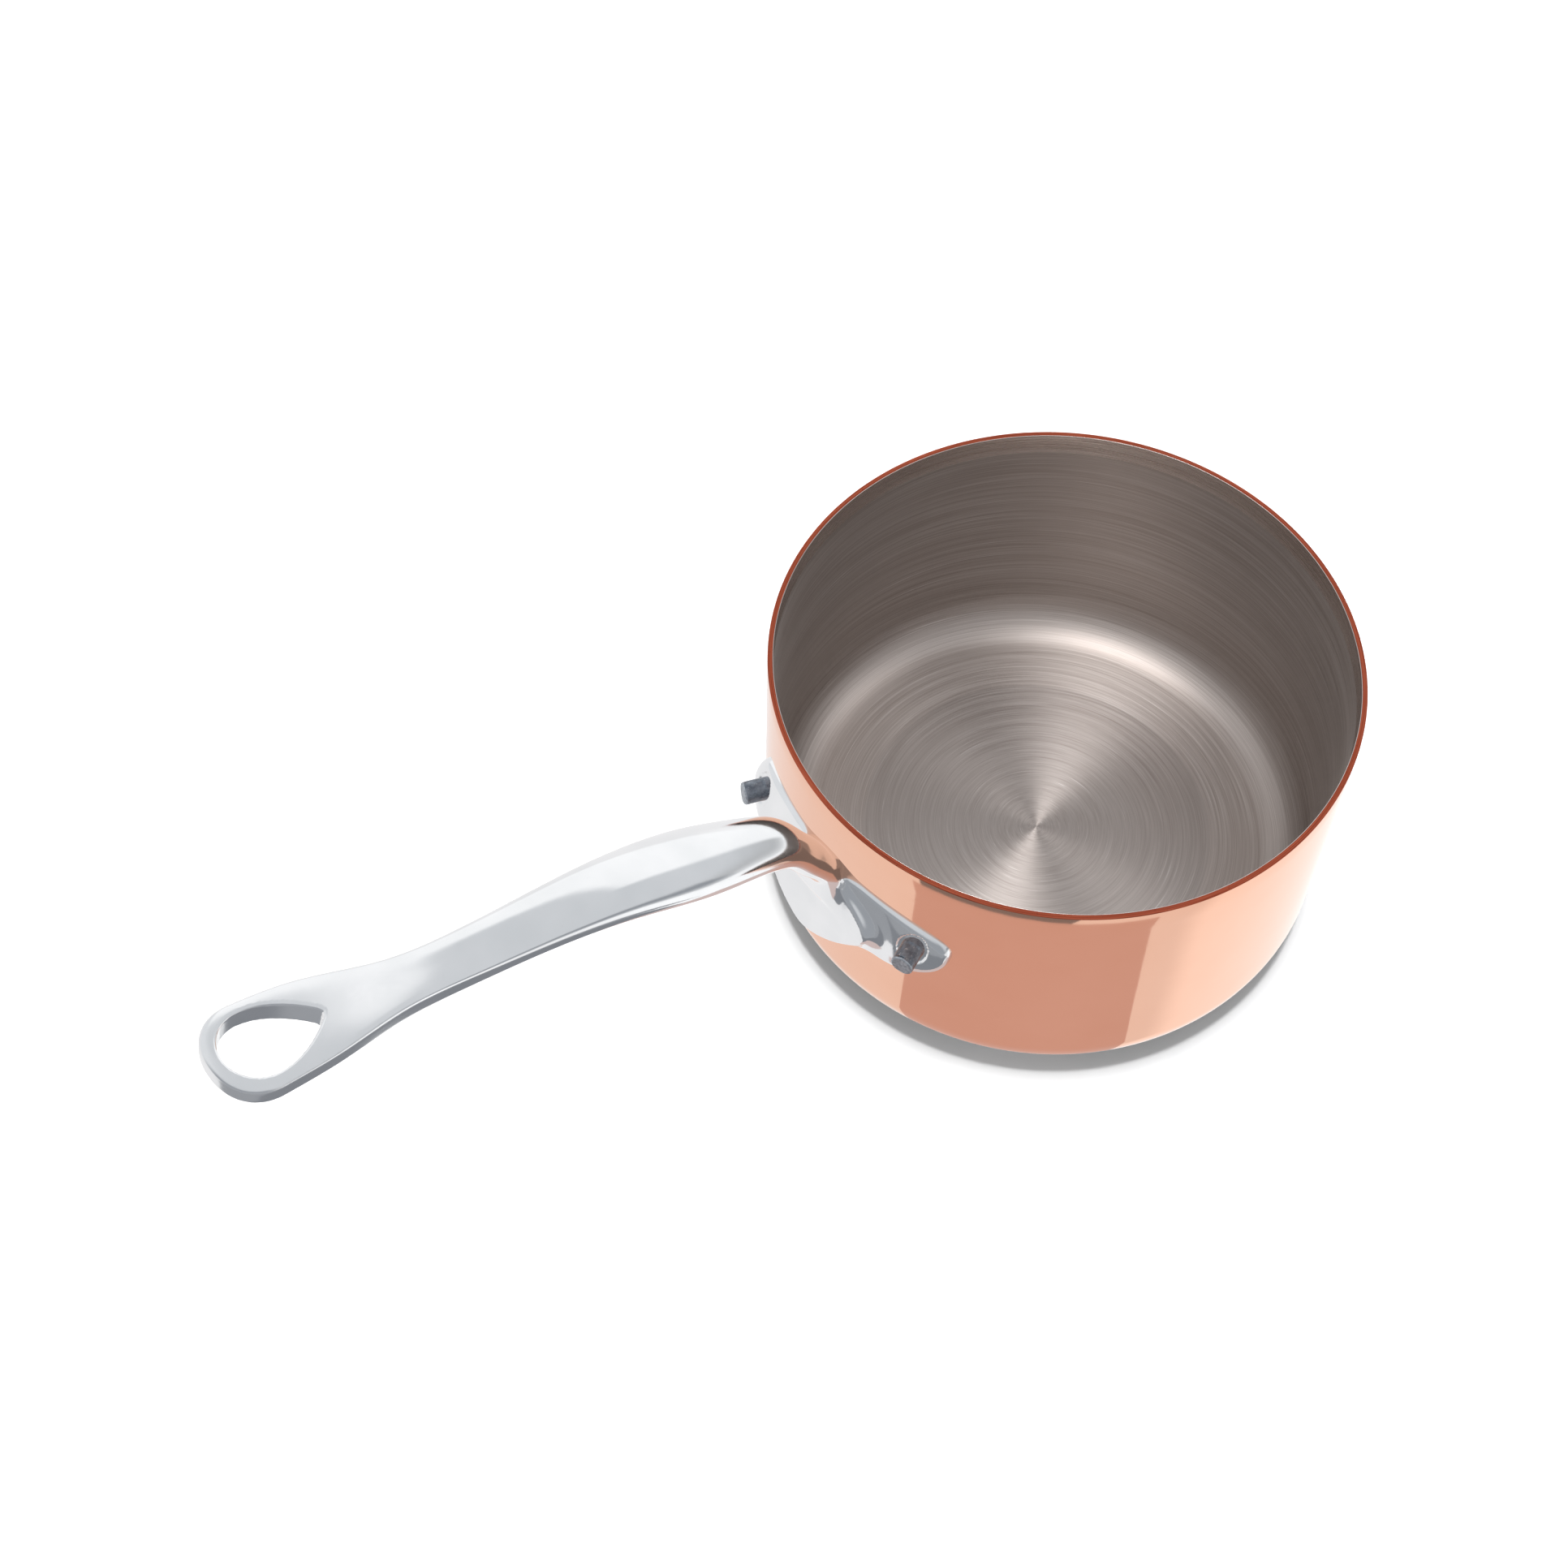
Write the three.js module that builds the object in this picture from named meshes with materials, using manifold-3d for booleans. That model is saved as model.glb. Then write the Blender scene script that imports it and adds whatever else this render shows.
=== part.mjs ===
// Copper saucepan with a cast stainless steel handle, held by two rivets.
// Millimetres, +Z up. The origin is the centre of the underside of the base, the
// pan's axis is Z, and the handle points along -X.

import * as THREE from 'three';
import { mergeVertices } from 'three/addons/utils/BufferGeometryUtils.js';
import Module from 'manifold-3d';

// ---------------------------------------------------------------- driving sizes

// Pan
const panRadius = 80;          // outside of the copper
const panHeight = 85.3;        // underside of the base to the ground rim
const copperThickness = 1.3;
const steelThickness = 0.2;
const bondGap = 0.05;          // keeps the two bonded sheets apart as solids
const cornerRadius = 15;       // outside, where the wall turns into the base

// Flange of the handle: a curved plate on the wall, whose face slopes out from its crown
const seatGap = 0.3;           // between the wall and everything cast on the handle
const flangeThickness = 7;     // in the middle; it thins towards the tips
const flangeEdgeThickness = 1.6;
const flangeSlope = 10;        // how far below the crown the face is fully out
const flangeBevel = 3;         // between the face and the foot
const flangeHalfLength = 40.5; // along the wall, from the middle to a tip
const flangeCrownBelowRim = 19.7;
const flangeTipBelowRim = 30;
const flangeFootBelowRim = 41.5;
const flangeRoundness = 2.3;
const flangeFullness = 4;      // how far the full thickness reaches towards the tips

// Tongue: a flat face in the middle of the flange, leaning back towards the top, on a
// foot that hangs below the flange and stands out from the wall
const tongueHalfWidth = 21.4;
const tongueFootBelowRim = 45.9;
const tongueShoulder = 14.2;   // height of the widest place above the foot
const tongueHeight = 21;
const tongueTopHalfWidth = 12;
const tongueFootFlatness = 0.38;     // how far the foot's round keeps level, as a share
const tongueShoulderFlatness = 0.6;  // and how far the shoulder's round reaches inwards
const tongueFootStand = 9.8;   // from the wall to the face, at the foot
const tongueLean = THREE.MathUtils.degToRad(17);
const tonguePlateDepth = 14;

// Rivets
const rivetRadius = 3.2;
const rivetBelowRim = 28.5;
const rivetSpread = 30.7;      // along the wall, from the middle of the handle
const rivetHoleClearance = 0.1;
const rivetHeadMargin = 3.2;   // around the shank, inside the pan
const rivetHeadHeight = 2.3;
const rivetHeadClearance = 0.3;
const rivetStub = 3.6;         // stands out of the flange
const rivetChamfer = 0.5;
const rivetRecessMargin = 1.1; // around the shank, outside the flange
const rivetRecessDepth = 0.8;

// Handle: its middle line, as reach from the wall and height above the rim
const handlePath = [
  [3.5, -27],
  [6, -17.5],
  [12, -7.3],
  [28, 11.3],
  [48, 22.3],
  [72, 33.5],
  [96, 40.8],
  [120, 47.5],
  [144, 56.3],
  [172, 63.2],
];
// Sections: reach, half width, crown above and belly below the middle line, and how
// square the section is (2 is an ellipse, 5 is nearly a rectangle)
const handleSections = [
  { reach: 3, halfWidth: 7.8, crown: 4.4, belly: 3.4, square: 2.3 },
  { reach: 10, halfWidth: 7.9, crown: 5.2, belly: 3.6, square: 2.1 },
  { reach: 24, halfWidth: 8.6, crown: 5.6, belly: 4.0, square: 2.0 },
  { reach: 44, halfWidth: 10.5, crown: 6.0, belly: 3.7, square: 2.0 },
  { reach: 64, halfWidth: 9.7, crown: 5.7, belly: 3.3, square: 2.1 },
  { reach: 88, halfWidth: 7.9, crown: 4.6, belly: 3.0, square: 2.3 },
  { reach: 108, halfWidth: 6.9, crown: 3.7, belly: 2.9, square: 3.0 },
  { reach: 128, halfWidth: 7.2, crown: 3.1, belly: 3.0, square: 4.5 },
];
const loopHalfWidth = 12.2;
const loopHalfThickness = 3;
const loopSquare = 5;
const loopCentreReach = 161;
const loopEndReach = 171.8;
const loopEndSquare = 2.2;

// Hanging hole: a drop with its point towards the pan
const holeHalfWidth = 8.8;
const holeRimWidth = 3;        // metal left at the end of the loop
const holeRound = 8.4;         // from the widest place to the blunt end
const holeTaper = 16;          // from the widest place to the point
const holePointHalfWidth = 0.9;
const holeFlank = [[0.3, 0.55], [0.62, 1]]; // control points, as shares of taper and half width

// Fineness of the facets
const panSegments = 72;
const cornerSteps = 7;
const flangeSteps = 40;
const tongueCurveSegments = 12;
const holeCurveSegments = 10;
const rivetSegments = 24;
const rivetDomeSteps = 6;
const handleRingPoints = 24;
const handleBodySteps = 36;
const handleEndSteps = 9;
const rootCrowding = 1.25;     // sections lie closer together towards the root
const nearlyAll = 0.999;       // keeps the last section of a rounded end from closing up
const overlap = 1;             // how far a body runs past the face that will trim it
const mergeDistance = 1e-4;
const bisections = 40;

// ---------------------------------------------------------------- sizes that follow

const liningRadius = panRadius - copperThickness - bondGap;
const insideRadius = liningRadius - steelThickness;
const flangeInnerRadius = panRadius + seatGap;
const flangeHalfAngle = flangeHalfLength / panRadius;
const rivetHeadRadius = rivetRadius + rivetHeadMargin;
const rivetRecessRadius = rivetRadius + rivetRecessMargin;
const rivetAngle = rivetSpread / panRadius;
const rivetHeight = panHeight - rivetBelowRim;
const rivetFaceRadius = flangeFaceRadius(rivetSpread / flangeHalfLength);
const rivetEndRadius = rivetFaceRadius + rivetStub;

// ---------------------------------------------------------------- helpers

const wasm = await Module();
wasm.setup();

// The geometry with shared corners merged and collapsed faces dropped, positions only.
function closed(geometry) {
  const bare = geometry.clone();
  bare.deleteAttribute('normal');
  bare.deleteAttribute('uv');
  const merged = mergeVertices(bare, mergeDistance);
  const index = merged.getIndex().array;
  const kept = [];
  for (let i = 0; i < index.length; i += 3) {
    const [a, b, c] = [index[i], index[i + 1], index[i + 2]];
    if (a !== b && b !== c && a !== c) kept.push(a, b, c);
  }
  merged.setIndex(kept);
  return merged;
}

function toSolid(geometry) {
  const merged = closed(geometry);
  return new wasm.Manifold(new wasm.Mesh({
    numProp: 3,
    vertProperties: new Float32Array(merged.getAttribute('position').array),
    triVerts: new Uint32Array(merged.getIndex().array),
  }));
}

function toGeometry(solid) {
  const mesh = solid.getMesh();
  const geometry = new THREE.BufferGeometry();
  geometry.setAttribute('position', new THREE.BufferAttribute(mesh.vertProperties, 3));
  geometry.setIndex(new THREE.BufferAttribute(mesh.triVerts, 1));
  geometry.computeVertexNormals();
  return geometry;
}

// A body skinned over rings of equal point count, closed by a fan at each end.
function skin(rings) {
  const count = rings[0].length;
  const points = rings.flat();
  const faces = [];
  for (let r = 0; r + 1 < rings.length; r += 1) {
    for (let i = 0; i < count; i += 1) {
      const j = (i + 1) % count;
      const a = r * count + i;
      const b = r * count + j;
      faces.push(a, b, b + count, a, b + count, a + count);
    }
  }
  const fan = (ring, flip) => {
    const base = ring * count;
    const middle = new THREE.Vector3();
    for (const point of rings[ring]) middle.addScaledVector(point, 1 / count);
    points.push(middle);
    const hub = points.length - 1;
    for (let i = 0; i < count; i += 1) {
      const j = (i + 1) % count;
      if (flip) faces.push(hub, base + j, base + i);
      else faces.push(hub, base + i, base + j);
    }
  };
  fan(0, true);
  fan(rings.length - 1, false);
  const geometry = new THREE.BufferGeometry().setFromPoints(points);
  geometry.setIndex(faces);
  return geometry;
}

// A profile of [radius, height] turned about Z.
function turned(profile, segments) {
  const points = profile.map(([radius, height]) => new THREE.Vector2(radius, height));
  return new THREE.LatheGeometry(points, segments).rotateX(Math.PI / 2);
}

// A quarter round from straight down to straight out, as [radius, height] points.
function cornerArc(radius, wallRadius, floorHeight) {
  const arc = [];
  for (let i = 0; i <= cornerSteps; i += 1) {
    const turn = (i / cornerSteps) * Math.PI / 2;
    const out = wallRadius - radius + radius * Math.sin(turn);
    arc.push([out, floorHeight + radius - radius * Math.cos(turn)]);
  }
  return arc;
}

// A cup-shaped sheet between an outer and an inner wall radius, rim at panHeight.
function cup(outerRadius, outerFloor, thickness) {
  const outerCorner = cornerRadius - (panRadius - outerRadius);
  const outside = cornerArc(outerCorner, outerRadius, outerFloor);
  const inside = cornerArc(outerCorner - thickness, outerRadius - thickness, outerFloor + thickness);
  return turned([
    [0, outerFloor],
    ...outside,
    [outerRadius, panHeight],
    [outerRadius - thickness, panHeight],
    ...inside.reverse(),
    [0, outerFloor + thickness],
  ], panSegments);
}

// Turns a body made along +Z so that it points out of the wall at an angle from the handle.
function pointOutwards(geometry, angle) {
  return geometry
    .rotateY(-Math.PI / 2)
    .rotateZ(angle)
    .translate(0, 0, rivetHeight);
}

// Rounded square curve: 1 at the middle, 0 at the end, for a share between 0 and 1.
function squircle(share, power) {
  return (1 - Math.abs(share) ** power) ** (1 / power);
}

function signedPower(value, power) {
  return Math.sign(value) * Math.abs(value) ** power;
}

// Radius of the flange's outer face, at a share of the way from its middle to a tip.
function flangeFaceRadius(share) {
  const edge = flangeInnerRadius + flangeEdgeThickness;
  return edge + (panRadius + flangeThickness - edge) * squircle(share, flangeFullness);
}

// ---------------------------------------------------------------- rivets

const rivetSeat = Math.sqrt(insideRadius ** 2 - rivetHeadRadius ** 2) - rivetHeadClearance;

function rivetGeometry(angle) {
  const dome = [];
  for (let i = 0; i <= rivetDomeSteps; i += 1) {
    const turn = (i / rivetDomeSteps) * Math.PI / 2;
    dome.push([rivetHeadRadius * Math.sin(turn), rivetSeat - rivetHeadHeight * Math.cos(turn)]);
  }
  return pointOutwards(turned([
    ...dome,
    [rivetRadius, rivetSeat],
    [rivetRadius, rivetEndRadius - rivetChamfer],
    [rivetRadius - rivetChamfer, rivetEndRadius],
    [0, rivetEndRadius],
  ], rivetSegments), angle);
}

// A drill for one rivet, from inside the pan to clear of the flange.
function rivetDrill(angle) {
  const radius = rivetRadius + rivetHoleClearance;
  const start = rivetSeat - rivetHeadHeight;
  const end = rivetEndRadius + rivetStub;
  return toSolid(pointOutwards(turned([[0, start], [radius, start], [radius, end], [0, end]],
    rivetSegments), angle));
}

function rivetRecess(angle) {
  const start = rivetFaceRadius - rivetRecessDepth;
  const end = rivetEndRadius + rivetStub;
  return toSolid(pointOutwards(turned([[0, start], [rivetRecessRadius, start], [rivetRecessRadius, end],
    [0, end]], rivetSegments), angle));
}

const rivetAngles = [-rivetAngle, rivetAngle];

function drilled(solid) {
  return rivetAngles.reduce((rest, angle) => rest.subtract(rivetDrill(angle)), solid);
}

// ---------------------------------------------------------------- handle

// The flange: sections across the plate, swept round the wall from tip to tip.
function flangeSolid() {
  const tipHeight = panHeight - flangeTipBelowRim;
  const rise = flangeTipBelowRim - flangeCrownBelowRim;
  const fall = flangeFootBelowRim - flangeTipBelowRim;
  const edge = flangeInnerRadius + flangeEdgeThickness;
  const rings = [];
  for (let i = 0; i <= flangeSteps; i += 1) {
    const share = -Math.cos((i / flangeSteps) * Math.PI) * nearlyAll;
    const angle = share * flangeHalfAngle;
    const lift = squircle(share, flangeRoundness);
    const high = tipHeight + rise * lift;
    const low = tipHeight - fall * lift;
    const slope = Math.min(flangeSlope, (high - low) / 2);
    const bevel = Math.min(flangeBevel, (high - low) / 4);
    const outer = flangeFaceRadius(share);
    const section = [
      [panRadius - overlap, low],
      [panRadius - overlap, high],
      [edge, high],
      [outer, high - slope],
      [outer, low + bevel],
      [edge, low],
    ];
    rings.push(section.map(([radius, height]) => new THREE.Vector3(
      -radius * Math.cos(angle),
      -radius * Math.sin(angle),
      height,
    )));
  }
  return toSolid(skin(rings));
}

// The outline of the tongue, raised square to its face: inwards as the plate itself, or
// outwards as the tool that clears the space in front of it.
function tongueBody(depth, start) {
  const footEnd = tongueFootFlatness * tongueHalfWidth;
  const shoulderEnd = tongueShoulderFlatness * tongueHalfWidth;
  const halfway = tongueShoulder / 2;
  const outline = new THREE.Shape();
  outline.moveTo(0, 0);
  outline.bezierCurveTo(footEnd, 0, shoulderEnd, halfway, tongueHalfWidth, tongueShoulder);
  outline.quadraticCurveTo(tongueHalfWidth, tongueHeight, tongueTopHalfWidth, tongueHeight);
  outline.lineTo(-tongueTopHalfWidth, tongueHeight);
  outline.quadraticCurveTo(-tongueHalfWidth, tongueHeight, -tongueHalfWidth, tongueShoulder);
  outline.bezierCurveTo(-shoulderEnd, halfway, -footEnd, 0, 0, 0);
  const body = new THREE.ExtrudeGeometry(outline, {
    depth,
    bevelEnabled: false,
    curveSegments: tongueCurveSegments,
  });
  body.translate(0, 0, start);
  body.rotateX(Math.PI / 2);
  body.rotateZ(-Math.PI / 2);
  body.rotateY(tongueLean);
  body.translate(-panRadius - tongueFootStand, 0, panHeight - tongueFootBelowRim);
  return toSolid(body);
}

// Half width, crown, belly and squareness of the handle at a reach from the wall.
function handleSection(reach) {
  const last = handleSections.length - 1;
  if (reach >= handleSections[last].reach) {
    const from = handleSections[last];
    const share = Math.min(1, (reach - from.reach) / (loopCentreReach - from.reach));
    const ease = share * share * (3 - 2 * share);
    const past = Math.max(0, (reach - loopCentreReach) / (loopEndReach - loopCentreReach));
    const mix = (a, b) => a + (b - a) * ease;
    return {
      halfWidth: mix(from.halfWidth, loopHalfWidth) * squircle(past * nearlyAll, loopEndSquare),
      crown: mix(from.crown, loopHalfThickness),
      belly: mix(from.belly, loopHalfThickness),
      square: mix(from.square, loopSquare),
    };
  }
  let k = 0;
  while (k + 1 < last && reach > handleSections[k + 1].reach) k += 1;
  const rows = [k - 1, k, k + 1, k + 2].map((i) => handleSections[Math.min(Math.max(i, 0), last)]);
  const share = (reach - rows[1].reach) / (rows[2].reach - rows[1].reach);
  const smooth = (key) => {
    const [p0, p1, p2, p3] = rows;
    const span = p2.reach - p1.reach;
    const in1 = ((p2[key] - p0[key]) / (p2.reach - p0.reach)) * span;
    const in2 = ((p3[key] - p1[key]) / (p3.reach - p1.reach)) * span;
    const s2 = share * share;
    const s3 = s2 * share;
    return p1[key] * (2 * s3 - 3 * s2 + 1) + in1 * (s3 - 2 * s2 + share)
      + p2[key] * (3 * s2 - 2 * s3) + in2 * (s3 - s2);
  };
  return {
    halfWidth: smooth('halfWidth'),
    crown: smooth('crown'),
    belly: smooth('belly'),
    square: smooth('square'),
  };
}

const handleLine = new THREE.CatmullRomCurve3(
  handlePath.map(([reach, rise]) => new THREE.Vector3(-panRadius - reach, 0, panHeight + rise)),
  false,
  'centripetal',
);

// The place on the middle line at a reach from the wall.
function shareAtReach(reach) {
  let low = 0;
  let high = 1;
  for (let i = 0; i < bisections; i += 1) {
    const middle = (low + high) / 2;
    if (-handleLine.getPoint(middle).x - panRadius < reach) low = middle;
    else high = middle;
  }
  return (low + high) / 2;
}

function handleReaches() {
  const reaches = [];
  const rootReach = handlePath[0][0];
  for (let i = 0; i <= handleBodySteps; i += 1) {
    const share = (i / handleBodySteps) ** rootCrowding;
    reaches.push(rootReach + (loopCentreReach - rootReach) * share);
  }
  for (let i = 1; i <= handleEndSteps; i += 1) {
    const turn = (i / handleEndSteps) * Math.PI / 2;
    reaches.push(loopCentreReach + (loopEndReach - loopCentreReach) * Math.sin(turn));
  }
  return reaches;
}

function gripSolid() {
  const across = new THREE.Vector3(0, -1, 0);
  const rings = handleReaches().map((reach) => {
    const share = shareAtReach(reach);
    const middle = handleLine.getPoint(share);
    const along = handleLine.getTangent(share);
    const normal = new THREE.Vector3().crossVectors(along, across);
    const { halfWidth, crown, belly, square } = handleSection(reach);
    const ring = [];
    for (let i = 0; i < handleRingPoints; i += 1) {
      const turn = (i / handleRingPoints) * 2 * Math.PI;
      const height = Math.sin(turn) >= 0 ? crown : belly;
      ring.push(middle.clone()
        .addScaledVector(across, halfWidth * signedPower(Math.cos(turn), 2 / square))
        .addScaledVector(normal, height * signedPower(Math.sin(turn), 2 / square)));
    }
    return ring;
  });
  return toSolid(skin(rings));
}

// The drop-shaped hole, cut square to the loop.
function holeSolid() {
  const end = loopEndReach - holeRimWidth;
  const widest = end - holeRound;
  const point = widest - holeTaper;
  const [near, far] = holeFlank.map(([along, out]) => [point + along * holeTaper, out * holeHalfWidth]);
  const outline = new THREE.Shape();
  outline.moveTo(point, -holePointHalfWidth);
  outline.lineTo(point, holePointHalfWidth);
  outline.bezierCurveTo(...near, ...far, widest, holeHalfWidth);
  outline.absellipse(widest, 0, holeRound, holeHalfWidth, Math.PI / 2, -Math.PI / 2, true, 0);
  outline.bezierCurveTo(far[0], -far[1], near[0], -near[1], point, -holePointHalfWidth);
  const depth = 4 * (loopHalfThickness + overlap);
  const cutter = new THREE.ExtrudeGeometry(outline, {
    depth,
    bevelEnabled: false,
    curveSegments: holeCurveSegments,
  });
  const share = shareAtReach(widest);
  const centre = handleLine.getPoint(share);
  const along = handleLine.getTangent(share);
  cutter.translate(-widest, 0, -depth / 2);
  cutter.rotateZ(Math.PI);
  cutter.rotateY(Math.atan2(along.z, -along.x));
  cutter.translate(centre.x, 0, centre.z);
  return toSolid(cutter);
}

// Everything inside the pan's wall, grown by the seat gap.
function wallCutter() {
  const radius = flangeInnerRadius;
  const top = panHeight + overlap;
  return toSolid(turned([[0, 0], [radius, 0], [radius, top], [0, top]], 2 * panSegments));
}

function handleGeometry() {
  const tongue = tongueBody(tonguePlateDepth, -tonguePlateDepth);
  const clearance = tongueBody(tonguePlateDepth, 0);
  let solid = flangeSolid().subtract(clearance).add(tongue).add(gripSolid());
  solid = solid.subtract(wallCutter()).subtract(holeSolid());
  for (const angle of rivetAngles) solid = solid.subtract(rivetRecess(angle));
  return toGeometry(drilled(solid));
}

// ---------------------------------------------------------------- materials and assembly

const copper = new THREE.MeshStandardMaterial({ color: 0xd98f70, roughness: 0.18, metalness: 1 });
const brushedSteel = new THREE.MeshStandardMaterial({ color: 0xa8a09a, roughness: 0.38, metalness: 1 });
const castSteel = new THREE.MeshStandardMaterial({ color: 0xd6d8da, roughness: 0.2, metalness: 1 });
const rivetSteel = new THREE.MeshStandardMaterial({ color: 0x5c6066, roughness: 0.4, metalness: 1 });

const saucepan = new THREE.Group();

function addPart(name, geometry, material) {
  const mesh = new THREE.Mesh(geometry, material);
  mesh.name = name;
  saucepan.add(mesh);
}

addPart('copper_shell', toGeometry(drilled(toSolid(cup(panRadius, 0, copperThickness)))), copper);
addPart(
  'steel_lining',
  toGeometry(drilled(toSolid(cup(liningRadius, copperThickness + bondGap, steelThickness)))),
  brushedSteel,
);
addPart('handle', handleGeometry(), castSteel);
addPart('rivet_left', closed(rivetGeometry(-rivetAngle)), rivetSteel);
addPart('rivet_right', closed(rivetGeometry(rivetAngle)), rivetSteel);

export default saucepan;
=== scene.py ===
import math

import bmesh
import bpy
import numpy as np
from mathutils import Matrix, Vector


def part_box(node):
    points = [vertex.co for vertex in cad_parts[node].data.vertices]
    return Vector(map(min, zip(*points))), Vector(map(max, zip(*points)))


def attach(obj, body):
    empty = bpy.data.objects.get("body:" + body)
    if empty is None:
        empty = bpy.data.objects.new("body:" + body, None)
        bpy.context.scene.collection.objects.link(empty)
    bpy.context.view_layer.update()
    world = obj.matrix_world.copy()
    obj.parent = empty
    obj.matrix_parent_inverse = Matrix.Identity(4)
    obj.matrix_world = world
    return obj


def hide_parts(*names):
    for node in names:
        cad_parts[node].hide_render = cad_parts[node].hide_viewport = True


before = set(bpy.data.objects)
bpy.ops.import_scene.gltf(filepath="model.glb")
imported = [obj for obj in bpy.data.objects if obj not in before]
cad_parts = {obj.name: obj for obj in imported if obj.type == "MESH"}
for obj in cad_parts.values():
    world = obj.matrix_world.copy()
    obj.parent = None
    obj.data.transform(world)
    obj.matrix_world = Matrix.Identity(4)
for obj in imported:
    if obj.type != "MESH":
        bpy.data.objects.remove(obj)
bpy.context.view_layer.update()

MM = 0.001

# ------------------------------------------------------------------ sizes from the frame

shell_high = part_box("copper_shell")[1]
lining_low, lining_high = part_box("steel_lining")
PAN_RADIUS = shell_high.x / MM
PAN_HEIGHT = shell_high.z / MM
LINING_RADIUS = lining_high.x / MM
LINING_FLOOR = lining_low.z / MM

COPPER_THICKNESS = PAN_RADIUS - LINING_RADIUS
STEEL_THICKNESS = 0.2
CORNER_RADIUS = 15.0
RIM_ROUND = 0.22
TURN_STEPS = 288
WALL_STEPS = 10
CORNER_STEPS = 28
BASE_STEPS = 12
LINING_FLOOR_STEPS = 24
LINING_DROP = 0.02  # how far the lining's edge stays below the rim

# Handle, in millimetres: the path is reach from the wall and rise above the rim.
HANDLE_PATH = [
    (3.5, -27.0),
    (6.0, -17.5),
    (12.0, -6.9),
    (19.5, 4.9),
    (28.0, 11.3),
    (48.0, 22.3),
    (72.0, 33.5),
    (96.0, 40.8),
    (120.0, 47.5),
    (144.0, 56.3),
    (172.0, 63.2),
]
# Reach, half width, crown above and belly below the path, squareness of the section.
HANDLE_SECTIONS = [
    (3.0, 7.8, 4.4, 3.4, 2.3),
    (10.0, 7.9, 5.2, 3.6, 2.1),
    (24.0, 8.6, 5.6, 4.0, 2.0),
    (44.0, 10.5, 6.0, 3.7, 2.0),
    (64.0, 9.7, 5.7, 3.3, 2.1),
    (88.0, 7.9, 4.6, 3.0, 2.3),
    (108.0, 6.9, 3.7, 2.9, 3.0),
    (128.0, 7.4, 3.1, 3.0, 4.5),
    (146.0, 10.9, 3.0, 3.0, 5.0),
    (161.0, 12.2, 3.0, 3.0, 5.0),
]
LOOP_CENTRE_REACH = 161.0
LOOP_END_REACH = 171.8
LOOP_END_SQUARE = 2.2
HOLE_HALF_WIDTH = 8.8
HOLE_RIM = 3.0
HOLE_ROUND = 8.4
HOLE_TAPER = 16.3
HOLE_TAPER_POWER = 1.9
HOLE_EDGE = 0.9
HOLE_POINT_SHARE = 0.95
HOLE_POINT_ROUND = 1.2

# Fillets and rounded edges of the casting, in millimetres.
SINK = 0.6  # how far the casting is let into the wall, so that no gap shows
GRIP_START_ROUND = 2.0
GRIP_BLEND = 6.0
TONGUE_BLEND = 4.5
TONGUE_CORNER_ROUND = 3.0
TONGUE_EDGE_ROUND = 1.2
RIDGE_ROUND = 5.0
FLANGE_EDGE_ROUND = 2.6
FLANGE_EDGE_CHANGE = 1.4
FLANGE_EDGE_REACH = 4
LEAST_STEEPNESS = 0.02

FLANGE_THICKNESS = 7.0
FLANGE_EDGE = 1.5
FLANGE_HALF_LENGTH = 40.5
FLANGE_CROWN = -19.7
FLANGE_TIP = -30.0
FLANGE_FOOT = -41.5
FLANGE_ROUNDNESS = 2.3
FLANGE_FULLNESS = 4.0
FLANGE_SLOPE = 10.0
FLANGE_LEAST_SLOPE = 3.0
WAIST_DEPTH = 1.3
WAIST_START = 14.0
WAIST_END = 30.0

TONGUE_HALF_WIDTH = 21.4
TONGUE_FOOT = -45.9
TONGUE_STAND = 9.8
TONGUE_SHOULDER = 14.2
TONGUE_TOP = 9.0  # from the shoulder to the top of the face
TONGUE_LEAN = math.radians(17)
TONGUE_POWER = 1.7

RIVET_RADIUS = 3.2
RIVET_SPREAD = 30.7
RIVET_BELOW_RIM = 28.5
RIVET_HEAD_RADIUS = 6.4
RIVET_HEAD_HEIGHT = 2.3
RIVET_STUB = 3.6
RIVET_SEAT = 0.3
RIVET_CHAMFER = 0.5
RIVET_END_CROWN = 0.06
RIVET_DENTS = (0.05, 0.035)
RIVET_WEAR = 0.08
RIVET_DOME_STEPS = 14
RIVET_STUB_STEPS = 30
RIVET_TURN_STEPS = 64

DISC_RADIUS = 51.0  # the finer turned disc in the middle of the floor
DISC_EDGE = 0.015  # the softness of its edge, as a share of its radius
SATIN_START = 104.0  # reach from the wall where the polish begins to turn satin
SATIN_FULL = 136.0
RECESS_RADIUS = 4.3
RECESS_DEPTH = 0.8
RECESS_ROUND = 0.5

GRID_STEP = 0.55
SETTLE_ROUNDS = 5

# The camera, in metres and radians, and the studio around it.
CAMERA_PLACE = Vector((-308.8, -259.1, 629.8)) * MM
CAMERA_HEADING = 0.6863
CAMERA_TILT = 0.9939
CAMERA_ROLL = 0.0249
CAMERA_LENS = 57.81
CAMERA_SENSOR = 36
CAMERA_NEAREST = 0.01
CAMERA_AZIMUTH = 220.0
FLOOR_HALF = 4.0
SOFT_BOX_SIZE = 0.38
SOFT_BOX_DISTANCE = 1.2

# The cards' heights above the floor, in millimetres, so that none lies in another.
WALL_CARD_LIFT = 0.6
HANDLE_CARD_LIFT = 0.3
FAR_CARD_LIFT = 0.2
CARD_STEPS = 8


# ------------------------------------------------------------------ mesh helpers

def new_object(name, mesh):
    obj = bpy.data.objects.new(name, mesh)
    bpy.context.scene.collection.objects.link(obj)
    return obj


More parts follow.
